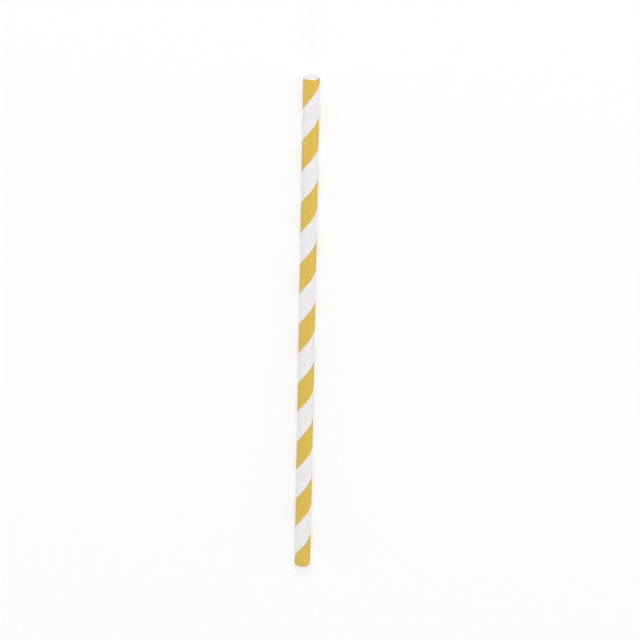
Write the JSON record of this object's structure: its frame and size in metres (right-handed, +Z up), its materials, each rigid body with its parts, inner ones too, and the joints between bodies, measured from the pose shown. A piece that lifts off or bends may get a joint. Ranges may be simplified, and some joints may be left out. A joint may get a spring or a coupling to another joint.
{
  "type": "paper drinking straw",
  "caption": "Straight round paper drinking straw, a thin spirally wound tube open at both ends, white with a gold spiral stripe.",
  "frame": {"origin": "on the surface that the straw lies on, below the middle of its length", "axes": "+X along the straw, towards the end that is drunk from; +Z up, away from the surface it lies on"},
  "size_m": [0.197, 0.006, 0.0059],
  "materials": {
    "white_paper": "matte white paper",
    "gold_print": "satin gold print on paper"
  },
  "bodies": {
    "root": {"paper_tube": "white_paper", "gold_stripe": "gold_print"}
  },
  "joints": []
}
